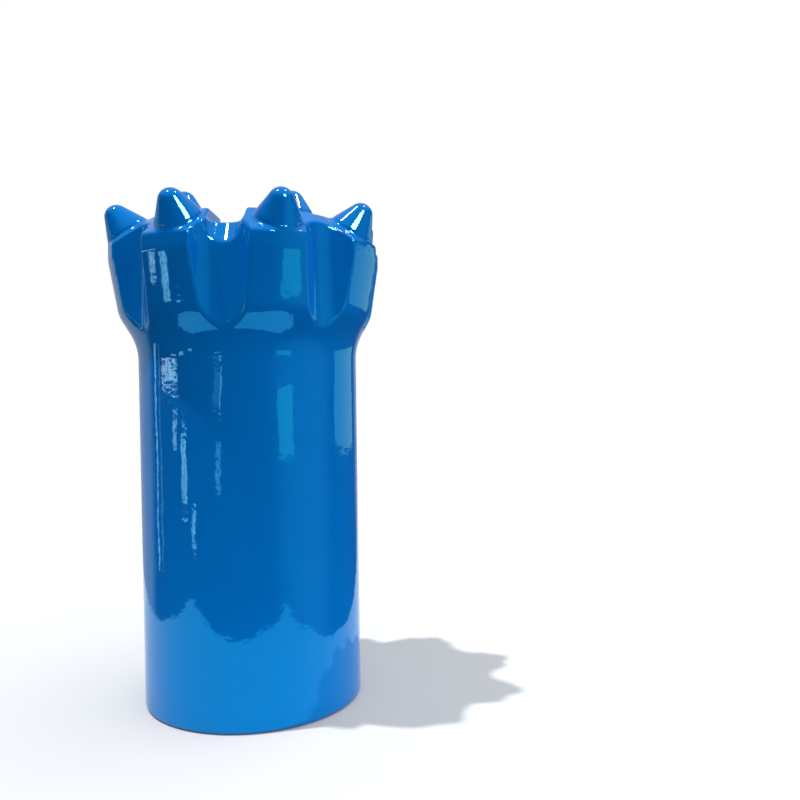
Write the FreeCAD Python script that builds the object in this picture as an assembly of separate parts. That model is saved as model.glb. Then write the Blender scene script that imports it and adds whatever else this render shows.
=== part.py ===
import FreeCAD, Part
import math
import os

# Threaded button bit for rock drilling, standing on its skirt.
# The origin is the centre of the skirt's end face, +Z is the bit axis and
# points from the skirt to the cutting face. Millimetres and degrees.

# Skirt and flare
skirt_r = 40.5
skirt_chamfer = 1.2
flare_foot_z = 127.0
flare_angle = 31.0
flare_blend_r = 20.0

# Head: tapered lobes, an upright band and a gauge cone around a flat face
lobe_foot_r = 47.0
rim_r = 50.3
band_foot_z = 163.0
rim_chamfer = 0.8
gauge_angle = 35.0
face_z = 178.0
face_edge_r = 36.3

# Sunk centre of the face: an upright wall, then a cone out to the face
recess_floor_z = 170.6
recess_floor_r = 15.2
recess_top_r = 18.6

# Four chip grooves across the face, each with a sloping round-bottomed end
groove_count = 4
groove_half_width = 6.4
groove_floor_z = 172.5
groove_corner_r = 1.2
spout_start_r = 37.3
spout_tilt = 35.0

# Eight round notches down the side of the head
notch_count = 8
notch_r = 10.8
notch_depth_r = 42.5
notch_tilt = 2.0
notch_level_z = 165.0
notch_foot_z = 128.0

# Flushing holes, one in each chip groove, and the water channel they join
flush_d = 11.5
flush_mouth_r = 26.0
flush_tilt = 30.0
channel_d = 22.0
channel_top_z = 138.0
drill_point_angle = 118.0

# Left-hand trapezoidal drill-rod thread in the skirt
thread_pitch = 19.0
thread_minor_r = 23.2
thread_major_r = 25.8
thread_root_width = 6.0
thread_flank_angle = 35.0
thread_start_z = 14.0
thread_end_z = 88.0
mouth_r = 26.3
mouth_depth = 9.0
mouth_chamfer = 2.0
socket_depth = 98.0

# Cemented-carbide buttons: diameter, height above the surface, nose radius
gauge_button = {"d": 16.0, "height": 10.8, "nose_r": 4.4, "sink": 12.0}
face_button = {"d": 14.5, "height": 9.0, "nose_r": 4.2, "sink": 11.0}
centre_button = {"d": 12.7, "height": 8.0, "nose_r": 3.8, "sink": 10.0}
button_collar = 1.0
button_turn = 1.7  # every button sits this far round from half way between two notches
gauge_button_count = 8
gauge_button_r = 43.3
face_button_count = 4
face_button_r = 27.1
centre_button_r = 8.4
centre_button_angles = (135.0, -45.0)

clearance = 1.0
FULL_TURN = 360.0
Z_AXIS = FreeCAD.Vector(0, 0, 1)
ORIGIN = FreeCAD.Vector(0, 0, 0)
gauge_slope = math.tan(math.radians(gauge_angle))
rim_z = face_z - (rim_r - face_edge_r) * gauge_slope


def point(radius, height):
    """A point of a profile in the XZ plane."""
    return FreeCAD.Vector(radius, 0, height)


def turned(wire):
    """The solid swept by a closed profile round the bit axis."""
    return Part.Face(wire).revolve(ORIGIN, Z_AXIS, FULL_TURN)


def outline(corners):
    """A closed wire through (point, blend radius) pairs, with a tangent arc at each blended corner."""
    count = len(corners)
    stops = []
    for i, (corner, radius) in enumerate(corners):
        if radius == 0:
            stops.append([corner])
            continue
        before = (corners[i - 1][0] - corner).normalize()
        after = (corners[(i + 1) % count][0] - corner).normalize()
        half = before.getAngle(after) / 2
        setback = radius / math.tan(half)
        middle = corner + (before + after).normalize() * (radius / math.sin(half) - radius)
        stops.append([corner + before * setback, middle, corner + after * setback])
    edges = []
    for i, stop in enumerate(stops):
        if len(stop) > 1:
            edges.append(Part.Arc(*stop).toShape())
        edges.append(Part.LineSegment(stop[-1], stops[(i + 1) % count][0]).toShape())
    return Part.Wire(edges)


def around(shape, count, first_angle=0.0):
    """Copies of a shape spaced evenly round the bit axis."""
    copies = []
    for i in range(count):
        copy = shape.copy()
        copy.rotate(ORIGIN, Z_AXIS, first_angle + i * FULL_TURN / count)
        copies.append(copy)
    return copies


def head_blank():
    """The turned blank: skirt, flare, lobes, band, gauge cone and face."""
    flare_corner_z = flare_foot_z + flare_blend_r * math.tan(math.radians(flare_angle / 2))
    lobe_foot_z = flare_corner_z + (lobe_foot_r - skirt_r) / math.tan(math.radians(flare_angle))
    corners = [
        (point(0, 0), 0),
        (point(skirt_r - skirt_chamfer, 0), 0),
        (point(skirt_r, skirt_chamfer), 0),
        (point(skirt_r, flare_corner_z), flare_blend_r),
        (point(lobe_foot_r, lobe_foot_z), 0),
        (point(rim_r, band_foot_z), 0),
        (point(rim_r, rim_z - rim_chamfer), 0),
        (point(rim_r - rim_chamfer, rim_z + rim_chamfer * gauge_slope), 0),
        (point(face_edge_r, face_z), 0),
        (point(0, face_z), 0),
    ]
    return turned(outline(corners))


def recess_cutter():
    """The sunk centre: upright up to the floor of the grooves, conical above it."""
    profile = [
        point(0, recess_floor_z),
        point(recess_floor_r, recess_floor_z),
        point(recess_floor_r, groove_floor_z),
        point(recess_top_r, face_z),
        point(recess_top_r, face_z + clearance),
        point(0, face_z + clearance),
    ]
    return turned(Part.makePolygon(profile + profile[:1]))


def groove_cutter():
    """One chip groove along +X, from the axis outwards, with rounded floor corners."""
    top = face_z + clearance
    corners = [
        (FreeCAD.Vector(0, -groove_half_width, groove_floor_z), groove_corner_r),
        (FreeCAD.Vector(0, groove_half_width, groove_floor_z), groove_corner_r),
        (FreeCAD.Vector(0, groove_half_width, top), 0),
        (FreeCAD.Vector(0, -groove_half_width, top), 0),
    ]
    return Part.Face(outline(corners)).extrude(FreeCAD.Vector(rim_r + clearance, 0, 0))


def spout_cutter():
    """The round-bottomed slope that runs from the groove's floor out into the side notch."""
    tilt = math.radians(spout_tilt)
    along = FreeCAD.Vector(math.sin(tilt), 0, -math.cos(tilt))
    up = FreeCAD.Vector(math.cos(tilt), 0, math.sin(tilt))
    length = face_z - flare_foot_z
    start = point(spout_start_r, groove_floor_z) - along * length / 2 + up * groove_half_width
    round_cut = Part.makeCylinder(groove_half_width, length, start, along)
    side = FreeCAD.Vector(0, groove_half_width, 0)
    corners = [start - side, start + side, start + side + up * length, start - side + up * length]
    slot = Part.Face(Part.makePolygon(corners + corners[:1])).extrude(along * length)
    return round_cut.fuse(slot)


def notch_cutter():
    """One side notch at +X: a long cylinder that leans out slightly towards the skirt."""
    tilt = math.radians(notch_tilt)
    down = FreeCAD.Vector(math.sin(tilt), 0, -math.cos(tilt))
    start = point(notch_depth_r + notch_r, notch_level_z) - down * (face_z + clearance - notch_level_z)
    return Part.makeCylinder(notch_r, face_z - notch_foot_z, start, down)


def flush_cutter():
    """One flushing hole from the groove's floor, leaning in to the water channel."""
    tilt = math.radians(flush_tilt)
    down = FreeCAD.Vector(-math.sin(tilt), 0, -math.cos(tilt))
    mouth = point(flush_mouth_r, groove_floor_z)
    length = flush_mouth_r / math.sin(tilt)
    return Part.makeCylinder(flush_d / 2, length + flush_d, mouth - down * flush_d, down)


def socket_cutter():
    """Mouth, bore and flat bottom of the threaded socket, with the water channel above it."""
    tip_height = channel_d / 2 / math.tan(math.radians(drill_point_angle / 2))
    profile = [
        point(0, -clearance),
        point(mouth_r + mouth_chamfer + clearance, -clearance),
        point(mouth_r, mouth_chamfer),
        point(mouth_r, mouth_depth),
        point(thread_minor_r, mouth_depth + mouth_r - thread_minor_r),
        point(thread_minor_r, socket_depth),
        point(channel_d / 2, socket_depth),
        point(channel_d / 2, channel_top_z),
        point(0, channel_top_z + tip_height),
    ]
    return turned(Part.makePolygon(profile + profile[:1]))


def thread_cutter():
    """The helical groove of the left-hand trapezoidal thread, open towards the bore."""
    flank = math.tan(math.radians(thread_flank_angle))
    inner_r = thread_minor_r - clearance
    inner_half = thread_root_width / 2 + (thread_major_r - inner_r) * flank
    profile = [
        point(inner_r, thread_start_z - inner_half),
        point(thread_major_r, thread_start_z - thread_root_width / 2),
        point(thread_major_r, thread_start_z + thread_root_width / 2),
        point(inner_r, thread_start_z + inner_half),
    ]
    section = Part.makePolygon(profile + profile[:1])
    helix = Part.makeHelix(thread_pitch, thread_end_z - thread_start_z, thread_minor_r, 0, True)
    helix.translate(FreeCAD.Vector(0, 0, thread_start_z))
    return Part.Wire(helix.Edges).makePipeShell([section], True, True)


def button(size):
    """A ballistic button with its shank along Z; the plane z = 0 is the surface it stands on."""
    shank_r = size["d"] / 2
    nose_r = size["nose_r"]
    nose_z = size["height"] - nose_r
    reach = math.hypot(shank_r, nose_z - button_collar)
    lean = math.atan2(shank_r, nose_z - button_collar) - math.asin(nose_r / reach)
    start = point(nose_r * math.cos(lean), nose_z + nose_r * math.sin(lean))
    middle_angle = (math.pi / 2 + lean) / 2
    middle = point(nose_r * math.cos(middle_angle), nose_z + nose_r * math.sin(middle_angle))
    tip = point(0, size["height"])
    foot = -size["sink"]
    profile = [
        tip,
        point(0, foot),
        point(shank_r, foot),
        point(shank_r, button_collar),
        start,
    ]
    nose = Part.Arc(start, middle, tip).toShape()
    return turned(Part.Wire(Part.makePolygon(profile).Edges + [nose]))


def gauge_buttons():
    """The ring of gauge buttons, square to the gauge cone."""
    shape = button(gauge_button)
    shape.rotate(ORIGIN, FreeCAD.Vector(0, 1, 0), gauge_angle)
    shape.translate(point(gauge_button_r, face_z - (gauge_button_r - face_edge_r) * gauge_slope))
    return around(shape, gauge_button_count, FULL_TURN / gauge_button_count / 2 + button_turn)


def face_buttons():
    """The ring of upright buttons on the flat face."""
    shape = button(face_button)
    shape.translate(point(face_button_r, face_z))
    return around(shape, face_button_count, FULL_TURN / face_button_count / 2 + button_turn)


def centre_buttons():
    """The two upright buttons on the sunk centre."""
    shape = button(centre_button)
    shape.translate(point(centre_button_r, recess_floor_z))
    return [around(shape, 1, angle + button_turn)[0] for angle in centre_button_angles]


def bit_body(buttons):
    """The one-piece steel body, with a pocket for each button."""
    cutters = [recess_cutter(), socket_cutter(), thread_cutter()]
    cutters += around(groove_cutter(), groove_count)
    cutters += around(spout_cutter(), groove_count)
    cutters += around(flush_cutter(), groove_count)
    cutters += around(notch_cutter(), notch_count)
    return head_blank().cut(cutters + buttons).Solids[0]


rings = {
    "gauge_button": gauge_buttons(),
    "face_button": face_buttons(),
    "centre_button": centre_buttons(),
}
nodes = {f"{name}_{i + 1}": shape for name, ring in rings.items() for i, shape in enumerate(ring)}
nodes["bit_body"] = bit_body(list(nodes.values()))

os.makedirs("parts", exist_ok=True)
for name, shape in nodes.items():
    shape.exportStep(f"parts/{name}.step")
    print(name, round(shape.Volume), shape.isValid())
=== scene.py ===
import math

import bpy
import numpy as np
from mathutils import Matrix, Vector

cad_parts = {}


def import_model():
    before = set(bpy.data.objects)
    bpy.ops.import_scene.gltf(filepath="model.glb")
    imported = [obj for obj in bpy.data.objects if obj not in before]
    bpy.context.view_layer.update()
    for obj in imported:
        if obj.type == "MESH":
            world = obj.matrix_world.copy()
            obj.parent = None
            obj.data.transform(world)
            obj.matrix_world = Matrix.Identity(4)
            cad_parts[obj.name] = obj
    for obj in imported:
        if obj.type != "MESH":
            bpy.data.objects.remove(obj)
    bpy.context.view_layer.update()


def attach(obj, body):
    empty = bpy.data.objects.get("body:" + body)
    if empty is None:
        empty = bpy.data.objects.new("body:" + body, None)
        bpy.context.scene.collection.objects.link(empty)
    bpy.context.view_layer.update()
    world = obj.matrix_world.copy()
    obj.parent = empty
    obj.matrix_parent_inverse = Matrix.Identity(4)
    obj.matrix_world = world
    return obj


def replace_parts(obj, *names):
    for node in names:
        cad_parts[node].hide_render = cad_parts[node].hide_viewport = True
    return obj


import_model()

# The painted look of a threaded button bit. The whole bit was dipped in thick blue enamel, so every
# edge is rounded and a bead of paint runs round each button. The painted surface is worked out as a
# smooth field over the same dimensions as the solids, in millimetres, and scaled to metres at the end.

MM = 0.001
EIGHTH = math.pi / 4
QUARTER = math.pi / 2

# Dimensions of the solids that the paint covers, millimetres and radians
SKIRT_R = 40.5
FLARE_FOOT_Z = 127.0
FLARE_ANGLE = math.radians(31)
FLARE_BLEND_R = 20.0
LOBE_FOOT_R = 47.0
RIM_R = 50.3
BAND_FOOT_Z = 163.0
GAUGE_ANGLE = math.radians(35)
FACE_Z = 178.0
FACE_EDGE_R = 36.3
RECESS_FLOOR_Z = 170.6
RECESS_FLOOR_R = 15.2
RECESS_TOP_R = 18.6
GROOVE_HALF_WIDTH = 6.4
GROOVE_FLOOR_Z = 172.5
SPOUT_START_R = 37.3
SPOUT_TILT = math.radians(35)
NOTCH_R = 10.8
NOTCH_DEPTH_R = 42.5
NOTCH_TILT = math.radians(2)
NOTCH_LEVEL_Z = 165.0
FLUSH_R = 5.75
FLUSH_MOUTH_R = 26.0
FLUSH_TILT = math.radians(30)
CHANNEL_R = 11.0
CHANNEL_TOP_Z = 138.0
DRILL_POINT_HALF_ANGLE = math.radians(59)
THREAD_PITCH = 19.0
THREAD_MINOR_R = 23.2
THREAD_MAJOR_R = 25.8
THREAD_ROOT_WIDTH = 6.0
THREAD_FLANK_ANGLE = math.radians(35)
THREAD_START_Z = 14.0
THREAD_END_Z = 88.0
MOUTH_R = 26.3
MOUTH_DEPTH = 9.0
MOUTH_CHAMFER = 2.0
SOCKET_DEPTH = 98.0
BUTTON_COLLAR = 1.0
GAUGE_BUTTON = {"r": 8.0, "height": 10.8, "nose_r": 4.4}
FACE_BUTTON = {"r": 7.25, "height": 9.0, "nose_r": 4.2}
CENTRE_BUTTON = {"r": 6.35, "height": 8.0, "nose_r": 3.8}
GAUGE_BUTTON_R = 43.3
FACE_BUTTON_R = 27.1
CENTRE_BUTTON_R = 8.4
BUTTON_TURN = math.radians(1.7)
CENTRE_BUTTON_ANGLES = (math.radians(135) + BUTTON_TURN, math.radians(-45) + BUTTON_TURN)

# Levels that follow from them
RIM_Z = FACE_Z - (RIM_R - FACE_EDGE_R) * math.tan(GAUGE_ANGLE)
GAUGE_SEAT_Z = FACE_Z - (GAUGE_BUTTON_R - FACE_EDGE_R) * math.tan(GAUGE_ANGLE)

# How far the paint rounds each kind of edge and fills each kind of corner, millimetres
EDGE_SOFT = 0.9
LIP_SOFT = 0.5
FLOOR_SOFT = 2.2
LOBE_FOOT_SOFT = 0.9
BAND_SOFT = 0.2
FACE_EDGE_SOFT = 1.0
HOLE_SOFT = 0.7
THREAD_CREST_SOFT = 0.4
THREAD_ROOT_SOFT = 0.6
SKIRT_EDGE_R = 1.6
SEAT_CORNER_R = 0.6
BUTTON_BEND_R = 3.0

# The bead of paint round each button, and the pocket below it that hides the button's foot
BEAD_INSET = 0.12
BEAD_HEIGHT = 1.1
BEAD_TOP_SOFT = 0.3
BEAD_SOFT = 1.7
POCKET_LIP = 0.9
POCKET_DEPTH = 3.0
BUTTON_GAP = 0.3
BUTTON_FOOT_DEPTH = 2.8
BUTTON_FOOT_BEVEL = 0.2
BUTTON_WIDEN_DEPTH = 1.0

# The body is two painted meshes that meet on the join: a meshed field above, a turned mesh below.
# Each band of levels is its lowest level, its highest level and the step between levels.
JOIN_Z = 100.0
GRID_STEP = 0.6
LEVEL_BANDS = ((JOIN_Z, 141.0, 1.3), (141.0, 160.0, 1.0), (160.0, 179.0, 0.55))
SKIRT_SEGMENTS = 216
SOCKET_RINGS = 104
BUTTON_SEGMENTS = 72


# ---- fields: negative inside, positive outside, about one unit per millimetre ----

def smooth_max(a, b, width):
    """The larger of two fields, rounded off where they are within width of each other."""
    near = np.maximum(width - np.abs(a - b), 0.0)
    return np.maximum(a, b) + near * near / (4 * width)


def smooth_min(a, b, width):
    """The smaller of two fields, filled in where they are within width of each other."""
    return -smooth_max(-a, -b, width)


def slope_field(r, z, r0, z0, angle):
    """Distance outside a cone through (r0, z0) whose radius grows upwards at the angle from the axis."""
    return (r - r0) * math.cos(angle) - (z - z0) * math.sin(angle)


def blank_field(r, z):
    """The turned blank: skirt, flare, lobes, band, gauge cone and face."""
    arc_top_z = FLARE_FOOT_Z + FLARE_BLEND_R * math.sin(FLARE_ANGLE)
    corner_z = FLARE_FOOT_Z + FLARE_BLEND_R * math.tan(FLARE_ANGLE / 2)
    rise = np.clip(z - FLARE_FOOT_Z, 0, FLARE_BLEND_R * math.sin(FLARE_ANGLE))
    arc_r = SKIRT_R + FLARE_BLEND_R - np.sqrt(FLARE_BLEND_R**2 - rise**2)
    lower_r = arc_r + np.maximum(z - arc_top_z, 0) * math.tan(FLARE_ANGLE)
    steepness = rise / np.sqrt(FLARE_BLEND_R**2 - rise**2)
    lower = (r - lower_r) / np.sqrt(1 + steepness**2)
    lobe_foot_z = corner_z + (LOBE_FOOT_R - SKIRT_R) / math.tan(FLARE_ANGLE)
    lobe_angle = math.atan2(RIM_R - LOBE_FOOT_R, BAND_FOOT_Z - lobe_foot_z)
    lobe = slope_field(r, np.maximum(z, FLARE_FOOT_Z), LOBE_FOOT_R, lobe_foot_z, lobe_angle)
    gauge = (r - RIM_R) * math.sin(GAUGE_ANGLE) + (z - RIM_Z) * math.cos(GAUGE_ANGLE)
    field = smooth_max(lower, lobe, LOBE_FOOT_SOFT)
    field = smooth_max(field, r - RIM_R, BAND_SOFT)
    field = smooth_max(field, gauge, EDGE_SOFT)
    return smooth_max(field, z - FACE_Z, FACE_EDGE_SOFT)


def recess_field(r, z):
    """The space of the sunk centre: upright wall, then a cone out to the face."""
    cone_angle = math.atan2(RECESS_TOP_R - RECESS_FLOOR_R, FACE_Z - GROOVE_FLOOR_Z)
    cone = slope_field(r, z, RECESS_FLOOR_R, GROOVE_FLOOR_Z, cone_angle)
    side = smooth_min(r - RECESS_FLOOR_R, cone, LIP_SOFT)
    return smooth_max(side, RECESS_FLOOR_Z - z, FLOOR_SOFT)


def groove_field(long, across, z):
    """The space of a chip groove and of the round-bottomed spout at its end."""
    groove = smooth_max(np.abs(across) - GROOVE_HALF_WIDTH, GROOVE_FLOOR_Z - z, FLOOR_SOFT)
    above = (long - SPOUT_START_R) * math.cos(SPOUT_TILT) + (z - GROOVE_FLOOR_Z) * math.sin(SPOUT_TILT)
    below_centre = np.minimum(above - GROOVE_HALF_WIDTH, 0)
    spout = np.hypot(below_centre, across) - GROOVE_HALF_WIDTH
    return smooth_min(groove, spout, LIP_SOFT)


def notch_field(out, across, z):
    """The space of a side notch: a cylinder that leans out towards the skirt."""
    centre = NOTCH_DEPTH_R + NOTCH_R + (NOTCH_LEVEL_Z - z) * math.tan(NOTCH_TILT)
    return np.hypot((out - centre) * math.cos(NOTCH_TILT), across) - NOTCH_R


def flush_field(long, across, z):
    """The space of a flushing hole that leans in from a groove's floor to the channel."""
    off = (long - FLUSH_MOUTH_R) * math.cos(FLUSH_TILT) - (z - GROOVE_FLOOR_Z) * math.sin(FLUSH_TILT)
    return np.hypot(off, across) - FLUSH_R


def channel_field(r, z):
    """The space of the water channel, with its drill point."""
    tip_z = CHANNEL_TOP_Z + CHANNEL_R / math.tan(DRILL_POINT_HALF_ANGLE)
    point = r * math.cos(DRILL_POINT_HALF_ANGLE) + (z - tip_z) * math.sin(DRILL_POINT_HALF_ANGLE)
    return smooth_max(r - CHANNEL_R, point, LIP_SOFT)


def from_middle(angle, pitch):
    """An angle, counted from the middle of the pitch that it falls in."""
    return np.mod(angle, pitch) - pitch / 2


def seats(x, y, z, r):
    """For the nearest gauge, nearest face and both centre buttons: distance from the button's axis,
    height above its seat, and its radius."""
    angle = np.arctan2(y, x) - BUTTON_TURN
    turn = from_middle(angle, EIGHTH)
    out = r * np.cos(turn) - GAUGE_BUTTON_R
    up = z - GAUGE_SEAT_Z
    off = np.hypot(out * math.cos(GAUGE_ANGLE) - up * math.sin(GAUGE_ANGLE), r * np.sin(turn))
    yield off, out * math.sin(GAUGE_ANGLE) + up * math.cos(GAUGE_ANGLE), GAUGE_BUTTON["r"]
    turn = from_middle(angle, QUARTER)
    off = np.hypot(r * np.cos(turn) - FACE_BUTTON_R, r * np.sin(turn))
    yield off, z - FACE_Z, FACE_BUTTON["r"]
    for seat_angle in CENTRE_BUTTON_ANGLES:
        seat_x = CENTRE_BUTTON_R * math.cos(seat_angle)
        seat_y = CENTRE_BUTTON_R * math.sin(seat_angle)
        yield np.hypot(x - seat_x, y - seat_y), z - RECESS_FLOOR_Z, CENTRE_BUTTON["r"]


def body_field(points):
    """The painted body above the join, with a bead of paint round each button and a pocket under it."""
    x, y, z = points[..., 0], points[..., 1], points[..., 2]
    r = np.hypot(x, y)
    long = np.maximum(np.abs(x), np.abs(y))
    across = np.minimum(np.abs(x), np.abs(y))
    turn = from_middle(np.arctan2(y, x) + EIGHTH / 2, EIGHTH)
    space = groove_field(long, across, z)
    space = smooth_min(space, recess_field(r, z), LIP_SOFT)
    space = smooth_min(space, notch_field(r * np.cos(turn), r * np.sin(turn), z), LIP_SOFT)
    space = smooth_min(space, flush_field(long, across, z), HOLE_SOFT)
    space = smooth_min(space, channel_field(r, z), HOLE_SOFT)
    field = smooth_max(blank_field(r, z), -space, EDGE_SOFT)
    seat_rings = list(seats(x, y, z, r))
    for off, height, radius in seat_rings:
        bead = smooth_max(off - (radius - BEAD_INSET), height - BEAD_HEIGHT, BEAD_TOP_SOFT)
        field = smooth_min(field, bead, BEAD_SOFT)
    for off, height, radius in seat_rings:
        pocket = np.maximum(off - (radius - POCKET_LIP), -height - POCKET_DEPTH)
        field = np.maximum(field, -pocket)
    return field


# ---- meshing a field: a vertex in each crossed cell, a quad across each crossed edge ----

def gradient(field, points):
    """The field's gradient at points, by central differences."""
    step = 0.01
    parts = []
    for axis in range(3):
        shift = np.zeros(3)
        shift[axis] = step
        parts.append((field(points + shift) - field(points - shift)) / (2 * step))
    return np.stack(parts, -1)


def edge_ends(values, axis, across):
    """The values at both ends of every grid edge along an axis, within a slice of the other axes."""
    low = [across] * 3
    high = [across] * 3
    low[axis] = slice(0, -1)
    high[axis] = slice(1, None)
    return values[tuple(low)], values[tuple(high)]


def neighbour(counts, axes, offsets):
    """The slices that pick each cell's neighbour, offset by 0 or 1 along each of two axes."""
    cut = [slice(None)] * 3
    for axis, offset in zip(axes, offsets):
        cut[axis] = slice(offset, counts[axis] + offset)
    return tuple(cut)


def cell_vertices(values, xs, ys, zs):
    """One vertex in each grid cell that the surface crosses, at the mean of its edge crossings."""
    cells = tuple(n - 1 for n in values.shape)
    total = np.zeros(cells + (3,))
    count = np.zeros(cells)
    levels = (xs, ys, zs)
    for axis in range(3):
        low, high = edge_ends(values, axis, slice(None))
        cross = (low < 0) != (high < 0)
        # how far along its edge the surface crosses
        share = np.where(cross, low / np.where(cross, low - high, 1), 0)
        starts = [line[:-1] if i == axis else line for i, line in enumerate(levels)]
        places = list(np.meshgrid(*starts, indexing="ij"))
        steps = np.diff(levels[axis]).reshape([-1 if i == axis else 1 for i in range(3)])
        places[axis] = places[axis] + share * steps
        others = [i for i in range(3) if i != axis]
        for offsets in ((0, 0), (0, 1), (1, 0), (1, 1)):
            cut = neighbour(cells, others, offsets)
            count += cross[cut]
            for i in range(3):
                total[..., i] += cross[cut] * places[i][cut]
    active = count > 0
    return active, total[active] / count[active][:, None]


def cell_quads(values, index):
    """A quad across each grid edge that the surface crosses, facing out of the solid."""
    counts = tuple(n - 1 for n in index.shape)
    quads = []
    for axis in range(3):
        low, high = edge_ends(values < 0, axis, slice(1, -1))
        others = ((axis + 1) % 3, (axis + 2) % 3)
        round_edge = ((0, 0), (1, 0), (1, 1), (0, 1))
        corners = np.stack([index[neighbour(counts, others, offsets)] for offsets in round_edge], -1)
        quads.append(corners[low & ~high])
        quads.append(corners[~low & high][:, ::-1])
    return np.concatenate(quads)


def field_surface(field, xs, ys, zs):
    """Vertices, quads and normals of the field's zero surface; it ends flat on the lowest level."""
    levels_at_once = 8
    rounds = 4
    least_slope = 0.05
    grid = np.stack(np.meshgrid(xs, ys, zs, indexing="ij"), -1)
    slabs = [field(grid[:, :, k:k + levels_at_once]) for k in range(0, len(zs), levels_at_once)]
    values = np.concatenate(slabs, axis=2)
    active, points = cell_vertices(values, xs, ys, zs)
    index = np.full(active.shape, -1)
    index[active] = np.arange(len(points))
    quads = cell_quads(values, index)
    on_join = np.nonzero(active)[2] == 0
    points[on_join, 2] = zs[0]
    # walk the vertices down the slope onto the surface, with a shorter reach each time
    reach = GRID_STEP
    for _ in range(rounds):
        slope = gradient(field, points)
        slope[on_join, 2] = 0
        steepness = np.maximum((slope**2).sum(-1, keepdims=True), least_slope)
        move = -field(points)[:, None] * slope / steepness
        length = np.linalg.norm(move, axis=-1, keepdims=True)
        points += move * np.minimum(1, reach / np.maximum(length, 1e-9))
        reach /= 2
    slope = gradient(field, points)
    return points, quads, slope / np.linalg.norm(slope, axis=-1, keepdims=True)


def mesh_piece(name, points, faces, normals, material):
    """A smooth mesh object that rides on the bit, from millimetre points; unused points are left out."""
    used = np.unique(faces)
    new_index = np.zeros(len(points), int)
    new_index[used] = np.arange(len(used))
    faces = new_index[faces]
    points, normals = points[used], normals[used]
    mesh = bpy.data.meshes.new(name)
    mesh.from_pydata((points * MM).tolist(), [], faces.tolist())
    mesh.materials.append(material)
    mesh.polygons.foreach_set("use_smooth", np.ones(len(mesh.polygons), bool))
    mesh.normals_split_custom_set_from_vertices(normals.tolist())
    mesh.update()
    piece = bpy.data.objects.new(name, mesh)
    bpy.context.scene.collection.objects.link(piece)
    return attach(piece, "root")


# ---- turned pieces ----

def ring_angles(segments):
    """The angles of a ring's points."""
    return np.arange(segments) * 2 * math.pi / segments


def ring(radius, z, segments):
    """A level ring of points about the axis; the radius may differ from point to point."""
    angles = ring_angles(segments)
    return np.stack([radius * np.cos(angles), radius * np.sin(angles), np.full(segments, z)], -1)


def arc(centre, radius, start, end, count):
    """Profile points along an arc, angles in radians."""
    angles = np.linspace(start, end, count)
    return [(centre[0] + radius * math.cos(a), centre[1] + radius * math.sin(a)) for a in angles]


def turned_surface(rings, segments):
    """Vertices and quads of a surface through rings of points, each an array (segments, 3)."""
    points = np.concatenate(rings)
    column = np.arange(segments)
    after = (column + 1) % segments
    quads = []
    for i in range(len(rings) - 1):
        low, high = i * segments, (i + 1) * segments
        quads.append(np.stack([low + column, low + after, high + after, high + column], -1))
    return points, np.concatenate(quads)


def ring_normals(points, shape):
    """Vertex normals of a grid of points (rings, segments) that closes round its segments."""
    grid = points.reshape(shape + (3,))
    along = np.gradient(grid, axis=0)
    around = np.roll(grid, -1, axis=1) - np.roll(grid, 1, axis=1)
    normal = np.cross(around, along)
    length = np.linalg.norm(normal, axis=-1, keepdims=True)
    return (normal / np.maximum(length, 1e-12)).reshape(-1, 3)


def thread_radius(angle, z):
    """The socket's radius at angles on a level: crests with a left-hand trapezoidal groove between."""
    # the groove fades in and out over a twelfth of a turn at each end of the thread
    run_outs_per_turn = 12
    turns = (THREAD_END_Z - THREAD_START_Z) / THREAD_PITCH
    share = np.mod(-angle / (2 * math.pi), 1)
    turn = np.round((z - THREAD_START_Z) / THREAD_PITCH - share)
    off = np.abs(z - THREAD_START_Z - (turn + share) * THREAD_PITCH)
    flank = math.tan(THREAD_FLANK_ANGLE)
    depth = THREAD_MAJOR_R - THREAD_MINOR_R
    half_top = THREAD_ROOT_WIDTH / 2 + depth * flank
    from_end = np.minimum(turn + share, turns - turn - share)
    fade = np.clip(from_end * run_outs_per_turn + 0.5, 0, 1)
    cut = smooth_min((half_top - off) / flank, np.full_like(off, depth), THREAD_ROOT_SOFT)
    return THREAD_MINOR_R + fade * smooth_max(cut, np.zeros_like(off), THREAD_CREST_SOFT)


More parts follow.
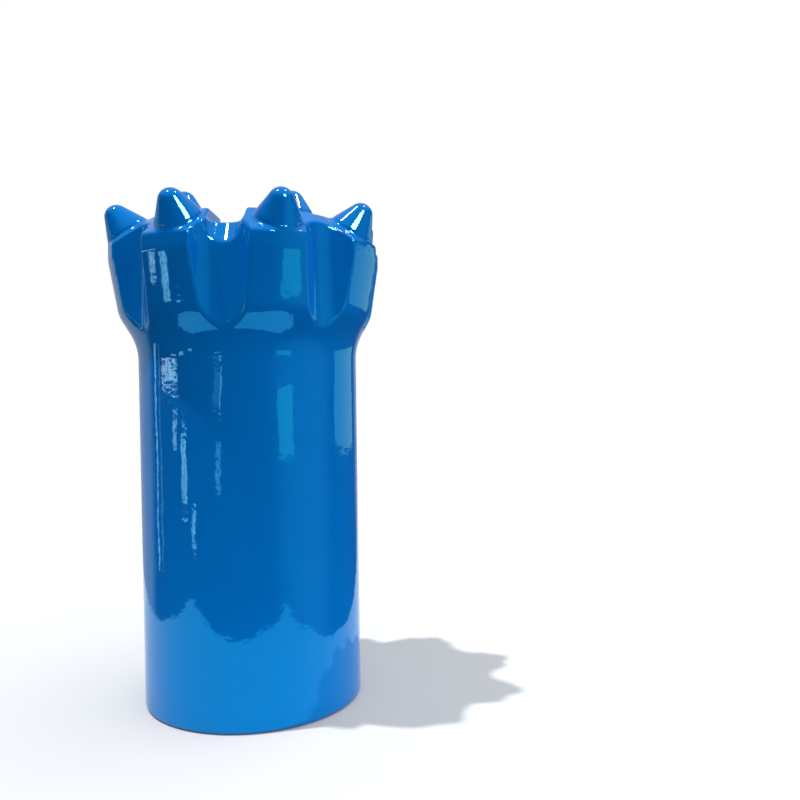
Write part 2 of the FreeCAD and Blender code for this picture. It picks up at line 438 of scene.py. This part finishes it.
def skirt_rings(segments):
    """Rings from the join down the skirt, under its end face and up the threaded socket to the join."""
    wall = [(SKIRT_R, z) for z in np.linspace(JOIN_Z, 2 * SKIRT_EDGE_R, 13)]
    edge = arc((SKIRT_R - SKIRT_EDGE_R, SKIRT_EDGE_R), SKIRT_EDGE_R, 0, -math.pi / 2, 9)
    end_face = [(r, 0.0) for r in (36.0, 33.0, 30.0)]
    chamfer_r = MOUTH_R + MOUTH_CHAMFER
    # the paint rounds both edges of the mouth's chamfer
    lip = [(chamfer_r + 0.8, 0.0), (chamfer_r + 0.3, 0.08), (chamfer_r - 0.2, 0.4)]
    lip += [(MOUTH_R + 0.5, MOUTH_CHAMFER - 0.4), (MOUTH_R + 0.1, MOUTH_CHAMFER + 0.1)]
    mouth = [(MOUTH_R, MOUTH_CHAMFER + 0.8), (MOUTH_R, 5.0), (MOUTH_R, MOUTH_DEPTH - 0.8)]
    mouth.append((MOUTH_R - 0.1, MOUTH_DEPTH))
    rings = [ring(r, z, segments) for r, z in wall + edge + end_face + lip + mouth]
    # the mouth narrows at 45 degrees to the crests of the thread
    crest_z = MOUTH_DEPTH + MOUTH_R - THREAD_MINOR_R
    for z in np.linspace(MOUTH_DEPTH + SEAT_CORNER_R, SOCKET_DEPTH - SEAT_CORNER_R, SOCKET_RINGS):
        cone_r = MOUTH_R - np.clip(z - MOUTH_DEPTH, 0, crest_z - MOUTH_DEPTH)
        radius = np.maximum(thread_radius(ring_angles(segments), z), cone_r)
        rings.append(ring(radius, z, segments))
    corner_centre = (THREAD_MINOR_R - SEAT_CORNER_R, SOCKET_DEPTH - SEAT_CORNER_R)
    corner = arc(corner_centre, SEAT_CORNER_R, 0.4, math.pi / 2, 4)
    seat = [(r, SOCKET_DEPTH) for r in (20.0, 16.0, CHANNEL_R + 0.6)]
    channel = [(CHANNEL_R + 0.2, SOCKET_DEPTH + 0.1), (CHANNEL_R, SOCKET_DEPTH + 0.6), (CHANNEL_R, JOIN_Z)]
    return rings + [ring(r, z, segments) for r, z in corner + seat + channel]


def button_profile(size):
    """Profile of a painted button from its hidden foot up to the tip: shank, bend, cone and round nose."""
    shank_r, nose_r, height = size["r"], size["nose_r"], size["height"]
    nose_z = height - nose_r
    reach = math.hypot(shank_r, nose_z - BUTTON_COLLAR)
    lean = math.atan2(shank_r, nose_z - BUTTON_COLLAR) - math.asin(nose_r / reach)
    setback = BUTTON_BEND_R * math.tan(lean / 2)
    bend_centre = (shank_r - BUTTON_BEND_R, BUTTON_COLLAR - setback)
    bend = arc(bend_centre, BUTTON_BEND_R, 0, lean, 6)
    foot_r, foot_z = bend[-1]
    top_r, top_z = nose_r * math.cos(lean), nose_z + nose_r * math.sin(lean)
    cone = [(foot_r + t * (top_r - foot_r), foot_z + t * (top_z - foot_z))
            for t in np.linspace(0.1, 0.95, 8)]
    nose = arc((0, nose_z), nose_r, lean, math.pi / 2, 18)
    hidden_r = shank_r - BUTTON_GAP
    hidden = [(0.0, -BUTTON_FOOT_DEPTH), (hidden_r - BUTTON_FOOT_BEVEL, -BUTTON_FOOT_DEPTH)]
    hidden += [(hidden_r, BUTTON_FOOT_BEVEL - BUTTON_FOOT_DEPTH), (hidden_r, -BUTTON_WIDEN_DEPTH)]
    return hidden + bend + cone + nose


# ---- materials ----

# The coat mirrors almost no red, so a mirrored white looks light blue and the paint stays saturated.
ENAMEL_BLUE = (0.0, 0.132, 0.47)
ENAMEL_IOR = 1.8
ENAMEL_MIRROR_TINT = (0.03, 0.55, 1.0, 1.0)
ENAMEL_SHADE = 0.07
ENAMEL_ROUGHNESS = {"To Min": 0.03, "To Max": 0.07}
# How many blotches to a metre and how much detail in each kind of unevenness, and the height of the
# two reliefs in metres
CLOUD = (45.0, 3.0)
SMEAR = (120.0, 4.0)
WAVE = (55.0, 1.0)
WAVE_HEIGHT = 0.00025
PEEL = (420.0, 1.5)
PEEL_HEIGHT = 0.000035


def enamel(name):
    """Thick glossy enamel with faint orange peel and slow waves, as a dipped coat has."""
    material = bpy.data.materials.new(name)
    material.use_nodes = True
    nodes, links = material.node_tree.nodes, material.node_tree.links
    shader = nodes["Principled BSDF"]
    shader.inputs["Metallic"].default_value = 0.0
    shader.inputs["IOR"].default_value = ENAMEL_IOR
    shader.inputs["Specular IOR Level"].default_value = 1.0
    shader.inputs["Specular Tint"].default_value = ENAMEL_MIRROR_TINT
    coords = nodes.new("ShaderNodeTexCoord")

    def noise(scale, detail):
        """Noise over the object, from 0 to 1."""
        node = nodes.new("ShaderNodeTexNoise")
        node.inputs["Scale"].default_value = scale
        node.inputs["Detail"].default_value = detail
        links.new(coords.outputs["Object"], node.inputs["Vector"])
        return node.outputs["Fac"]

    def relief(grain, height):
        """A bump map of noise, of a height in metres."""
        node = nodes.new("ShaderNodeBump")
        node.inputs["Strength"].default_value = 1.0
        node.inputs["Distance"].default_value = height
        links.new(noise(*grain), node.inputs["Height"])
        return node

    # a colour mix has its factor in input 0, its colours in inputs 6 and 7 and its result in output 2
    tint = nodes.new("ShaderNodeMix")
    tint.data_type = "RGBA"
    links.new(noise(*CLOUD), tint.inputs[0])
    tint.inputs[6].default_value = [c * (1 - ENAMEL_SHADE) for c in ENAMEL_BLUE] + [1.0]
    tint.inputs[7].default_value = [c * (1 + ENAMEL_SHADE) for c in ENAMEL_BLUE] + [1.0]
    links.new(tint.outputs[2], shader.inputs["Base Color"])
    smear = nodes.new("ShaderNodeMapRange")
    links.new(noise(*SMEAR), smear.inputs["Value"])
    for key, value in ENAMEL_ROUGHNESS.items():
        smear.inputs[key].default_value = value
    links.new(smear.outputs["Result"], shader.inputs["Roughness"])
    wave = relief(WAVE, WAVE_HEIGHT)
    peel = relief(PEEL, PEEL_HEIGHT)
    links.new(wave.outputs["Normal"], peel.inputs["Normal"])
    links.new(peel.outputs["Normal"], shader.inputs["Normal"])
    return material


body_enamel = enamel("enamel_body")
button_enamel = enamel("enamel_buttons")


# ---- the painted pieces ----

def painted_head():
    """The body above the join: flare, lobes, notches, grooves, holes and face, meshed from the field."""
    reach = RIM_R + 2 * GRID_STEP
    xs = np.linspace(-reach, reach, 2 * round(reach / GRID_STEP) + 2)
    zs = np.concatenate([np.arange(low, high, step) for low, high, step in LEVEL_BANDS])
    points, quads, normals = field_surface(body_field, xs, xs, zs)
    piece = mesh_piece("painted_head", points, quads, normals, body_enamel)
    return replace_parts(piece, "bit_body")


def painted_skirt():
    """The body below the join: skirt, end face and threaded socket, as one turned mesh."""
    rings = skirt_rings(SKIRT_SEGMENTS)
    points, quads = turned_surface(rings, SKIRT_SEGMENTS)
    # the rings run down the outside first, so faces and normals are turned over
    normals = -ring_normals(points, (len(rings), SKIRT_SEGMENTS))
    piece = mesh_piece("painted_skirt", points, quads[:, ::-1], normals, body_enamel)
    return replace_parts(piece, "bit_body")


def painted_button(name, size, origin, tilt, turn):
    """One painted button, made upright, tilted outwards, moved to its seat and turned round the bit."""
    rings = [ring(r, z, BUTTON_SEGMENTS) for r, z in button_profile(size)]
    points, quads = turned_surface(rings, BUTTON_SEGMENTS)
    normals = ring_normals(points, (len(rings), BUTTON_SEGMENTS))
    normals[:BUTTON_SEGMENTS] = (0, 0, -1)
    normals[-BUTTON_SEGMENTS:] = (0, 0, 1)
    lean = np.array(((math.cos(tilt), 0, math.sin(tilt)), (0, 1, 0), (-math.sin(tilt), 0, math.cos(tilt))))
    spin = np.array(((math.cos(turn), -math.sin(turn), 0), (math.sin(turn), math.cos(turn), 0), (0, 0, 1)))
    place = spin @ lean
    points = points @ place.T + spin @ np.array(origin)
    piece = mesh_piece("painted_" + name, points, quads, normals @ place.T, button_enamel)
    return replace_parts(piece, name)


painted_head()
painted_skirt()
for i in range(8):
    painted_button(f"gauge_button_{i + 1}", GAUGE_BUTTON, (GAUGE_BUTTON_R, 0, GAUGE_SEAT_Z), GAUGE_ANGLE,
                   math.radians(22.5 + 45 * i) + BUTTON_TURN)
for i in range(4):
    painted_button(f"face_button_{i + 1}", FACE_BUTTON, (FACE_BUTTON_R, 0, FACE_Z), 0,
                   math.radians(45 + 90 * i) + BUTTON_TURN)
for i, seat_angle in enumerate(CENTRE_BUTTON_ANGLES):
    painted_button(f"centre_button_{i + 1}", CENTRE_BUTTON, (CENTRE_BUTTON_R, 0, RECESS_FLOOR_Z), 0,
                   seat_angle)


# ---- stage ----

# The camera: place in metres, turn in degrees, lens and sensor in millimetres
CAMERA_PLACE = (0.05786, -0.31165, 0.11801)
CAMERA_TURN = (88.757, 0.794, 0.100)
CAMERA_LENS = 36.67
CAMERA_SENSOR = 36.0
CAMERA_CLIP_END = 50
CAMERA_SIDE = math.atan2(CAMERA_PLACE[0], -CAMERA_PLACE[1])

# The table's two corners in metres, and the greys that the camera and the paint see
FLOOR_LOW = (-0.16, -0.147)
FLOOR_HIGH = (0.125, 6.0)
FLOOR_SEEN = (0.51, 0.52, 0.535, 1)
FLOOR_MIRRORED = (0.55, 0.55, 0.55, 1)

# The sun that casts the shadow: angle to the right of the camera, height and spread in degrees, its
# share of the light on the table, and its distance in metres
KEY_SIDE = -86
KEY_HEIGHT = 72.6
KEY_SPREAD = 1.4
KEY_SHARE = 0.9
KEY_DISTANCE = 2

# Soft light on the matt share of the paint, from the left, from the right and from below
LEFT_LIGHT = 0.35
RIGHT_LIGHT = 2.0
LOW_LIGHT = 0.2
SOFT_COLOUR = (0.97, 0.99, 1.0, 1)

# How bright the parts of the room are that the paint mirrors
FRONT_ROOM = 0.03
BACK_ROOM = 0.55
CEILING = 0.5
RIGHT_ROOM = 0.35
WHITE_SURFACE = (1.0, 1.0, 1.0, 1)

# Colours of the lamps that the paint mirrors. The warm ones make up for the red that the paint's
# mirror takes away, so that they look white or nearly white on it.
WARM = (1.0, 0.2, 0.13)
WINDOW = (1.0, 0.36, 0.28)
WALL = (0.6, 1.0, 0.6)
WHITE = (1.0, 1.0, 1.0)

# These lamps are placed from a point on the bit's axis, level with the camera, and most stand far off
LAMP_CENTRE = Vector((0, 0, 0.118))
FAR = 1.5

# Each lamp that only the paint mirrors: name, angle to the right of the camera, height, width and
# height of its shape in degrees, radiance, colour, and distance in metres
LAMPS = (
    ("left_lamp", -72, 70, 8, 8, 150, WARM, FAR),
    ("right_lamp", 80, 66, 7, 7, 150, WARM, FAR),
    ("front_lamp", 28, 35, 15, 13, 150, WARM, 0.31),
    ("right_wall", 117, 3, 38, 17, 0.8, WALL, FAR),
    ("front_board", 34, -4.2, 15, 7.3, 1.0, WALL, 0.44),
    ("left_frame", -110, 5, 2.2, 38, 2.0, WHITE, FAR),
    ("left_frame", -103, 5, 1.5, 38, 0.8, WHITE, FAR),
)
# Each window on the left, in the same way: angle, height, width and height of its shape, radiance
WINDOWS = (
    (-88, 0.8, 22, 1.7, 10),
    (-82, -3.8, 5, 2.2, 9),
    (-71, -6.5, 6, 5.5, 9),
    (-61, -11.5, 4, 3.5, 9),
    (-33, 0.0, 8, 3.4, 2),
    (-29.5, -0.2, 1.2, 3.6, 9),
    (-33, -6.5, 5, 2.4, 5),
)
# Blotches on a window: how many to a metre of its width and of its height, which range of the noise
# they take, and how dim and how bright they turn the lamp
BLOTCHES_ACROSS = 28
BLOTCHES_UP = 60
BLOTCH_RANGE = {"From Min": 0.42, "From Max": 0.58, "To Min": 0.1, "To Max": 1.4}


def heading(side, height):
    """The direction from the bit at an angle to the right of the camera and at a height, in degrees."""
    side, height = math.radians(side) + CAMERA_SIDE, math.radians(height)
    return Vector((math.cos(height) * math.sin(side), -math.cos(height) * math.cos(side), math.sin(height)))


def diffuse(nodes, colour):
    """A matt shader of one colour."""
    node = nodes.new("ShaderNodeBsdfDiffuse")
    node.inputs["Color"].default_value = colour
    return node.outputs["BSDF"]


def floor():
    """A table that the camera sees as white but for the shadow, and the paint as slightly lighter."""
    low, high = FLOOR_LOW, FLOOR_HIGH
    mesh = bpy.data.meshes.new("floor")
    corners = [(low[0], low[1], 0), (high[0], low[1], 0), (high[0], high[1], 0), (low[0], high[1], 0)]
    mesh.from_pydata(corners, [], [(0, 1, 2, 3)])
    obj = bpy.data.objects.new("floor", mesh)
    bpy.context.scene.collection.objects.link(obj)
    material = bpy.data.materials.new("floor")
    material.use_nodes = True
    nodes, links = material.node_tree.nodes, material.node_tree.links
    nodes.remove(nodes["Principled BSDF"])
    path = nodes.new("ShaderNodeLightPath")
    mix = nodes.new("ShaderNodeMixShader")
    links.new(path.outputs["Is Camera Ray"], mix.inputs["Fac"])
    links.new(diffuse(nodes, FLOOR_MIRRORED), mix.inputs[1])
    links.new(diffuse(nodes, FLOOR_SEEN), mix.inputs[2])
    links.new(mix.outputs["Shader"], nodes["Material Output"].inputs["Surface"])
    mesh.materials.append(material)


def aim(obj, place, target):
    """Puts a lamp at a place and points it at a target."""
    obj.location = place
    obj.rotation_euler = (Vector(target) - Vector(place)).to_track_quat("-Z", "Y").to_euler()
    bpy.context.scene.collection.objects.link(obj)


def key_sun():
    """The lamp that casts the bit's shadow."""
    lamp = bpy.data.lights.new("key", "SUN")
    lamp.angle = math.radians(KEY_SPREAD)
    lamp.energy = KEY_SHARE * math.pi / math.sin(math.radians(KEY_HEIGHT))
    obj = bpy.data.objects.new("key", lamp)
    obj.visible_glossy = False
    aim(obj, heading(KEY_SIDE, KEY_HEIGHT) * KEY_DISTANCE, (0, 0, 0))


def glint(name, side, height, width, tall, radiance, colour, distance):
    """A lamp that only the paint mirrors, given by its direction and angular size in degrees."""
    lamp = bpy.data.lights.new(name, "AREA")
    lamp.shape = "RECTANGLE"
    lamp.size = 2 * distance * math.tan(math.radians(width) / 2)
    lamp.size_y = 2 * distance * math.tan(math.radians(tall) / 2)
    lamp.energy = radiance * math.pi * lamp.size * lamp.size_y
    lamp.color = colour
    obj = bpy.data.objects.new(name, lamp)
    obj.visible_camera = False
    obj.visible_diffuse = False
    aim(obj, LAMP_CENTRE + heading(side, height) * distance, LAMP_CENTRE)
    return lamp


def mottle(lamp):
    """Breaks a lamp up into blotches, as the panes and clutter of a window do."""
    lamp.use_nodes = True
    nodes, links = lamp.node_tree.nodes, lamp.node_tree.links
    place = nodes.new("ShaderNodeNewGeometry")
    stretch = nodes.new("ShaderNodeVectorMath")
    stretch.operation = "MULTIPLY"
    stretch.inputs[1].default_value = (lamp.size * BLOTCHES_ACROSS, lamp.size_y * BLOTCHES_UP, 1)
    links.new(place.outputs["Parametric"], stretch.inputs[0])
    blotches = nodes.new("ShaderNodeTexNoise")
    blotches.inputs["Scale"].default_value = 1.0
    blotches.inputs["Detail"].default_value = 2.0
    links.new(stretch.outputs["Vector"], blotches.inputs["Vector"])
    steps = nodes.new("ShaderNodeMapRange")
    for key, value in BLOTCH_RANGE.items():
        steps.inputs[key].default_value = value
    links.new(blotches.outputs["Fac"], steps.inputs["Value"])
    links.new(steps.outputs["Result"], nodes["Emission"].inputs["Strength"])


def world():
    """White for the camera, soft light for the matt share of the paint, and a room for it to mirror."""
    scene_world = bpy.data.worlds.new("room")
    bpy.context.scene.world = scene_world
    scene_world.use_nodes = True
    nodes, links = scene_world.node_tree.nodes, scene_world.node_tree.links
    coords = nodes.new("ShaderNodeTexCoord")
    path = nodes.new("ShaderNodeLightPath")

    def ramp(direction, low, high, to_low, to_high):
        """A smooth step in how far a ray points along a direction, from -1 to 1."""
        along = nodes.new("ShaderNodeVectorMath")
        along.operation = "DOT_PRODUCT"
        links.new(coords.outputs["Generated"], along.inputs[0])
        along.inputs[1].default_value = direction
        node = nodes.new("ShaderNodeMapRange")
        node.interpolation_type = "SMOOTHSTEP"
        links.new(along.outputs["Value"], node.inputs["Value"])
        for key, value in (("From Min", low), ("From Max", high), ("To Min", to_low), ("To Max", to_high)):
            node.inputs[key].default_value = value
        return node.outputs["Result"]

    def combine(operation, *sockets):
        """All the sockets put together by one operation."""
        result = sockets[0]
        for socket in sockets[1:]:
            node = nodes.new("ShaderNodeMath")
            node.operation = operation
            links.new(result, node.inputs[0])
            links.new(socket, node.inputs[1])
            result = node.outputs[0]
        return result

    def background(colour, strength=None):
        """Light of a colour, as strong everywhere or as a socket says."""
        node = nodes.new("ShaderNodeBackground")
        node.inputs["Color"].default_value = colour
        if strength is not None:
            links.new(strength, node.inputs["Strength"])
        return node.outputs["Background"]

    def switch(ray, otherwise, shader):
        """One shader for a kind of ray and another for the rest."""
        node = nodes.new("ShaderNodeMixShader")
        links.new(path.outputs[ray], node.inputs["Fac"])
        links.new(otherwise, node.inputs[1])
        links.new(shader, node.inputs[2])
        return node.outputs["Shader"]

    # each ramp: its direction, where along it the step starts and ends, and the values there
    up = (0, 0, 1)
    from_sides = ramp(heading(80, 0), -1, 1, LEFT_LIGHT, RIGHT_LIGHT)
    from_below = ramp(up, -0.12, 0.05, LOW_LIGHT, 1.0)
    soft = combine("MULTIPLY", from_sides, from_below)
    back = ramp(heading(-166, 0), 0.62, 0.78, FRONT_ROOM, BACK_ROOM)
    ceiling = ramp(up, 0.35, 0.75, 0.0, CEILING)
    right = ramp(heading(55, 0), 0.75, 1.0, 0.0, RIGHT_ROOM)
    mirrored = combine("MAXIMUM", back, ceiling, right)
    shader = switch("Is Glossy Ray", background(SOFT_COLOUR, soft), background(WHITE_SURFACE, mirrored))
    shader = switch("Is Camera Ray", shader, background(WHITE_SURFACE))
    links.new(shader, nodes["World Output"].inputs["Surface"])


def camera():
    """The camera, a little above the middle of the bit's height."""
    data = bpy.data.cameras.new("camera")
    data.sensor_width = CAMERA_SENSOR
    data.lens = CAMERA_LENS
    data.clip_end = CAMERA_CLIP_END
    obj = bpy.data.objects.new("camera", data)
    obj.location = CAMERA_PLACE
    obj.rotation_euler = [math.radians(turn) for turn in CAMERA_TURN]
    bpy.context.scene.collection.objects.link(obj)
    bpy.context.scene.camera = obj


floor()
world()
camera()
key_sun()
for lamp_row in LAMPS:
    glint(*lamp_row)
for window_row in WINDOWS:
    mottle(glint("window", *window_row, WINDOW, FAR))
bpy.context.scene.view_settings.view_transform = "Standard"
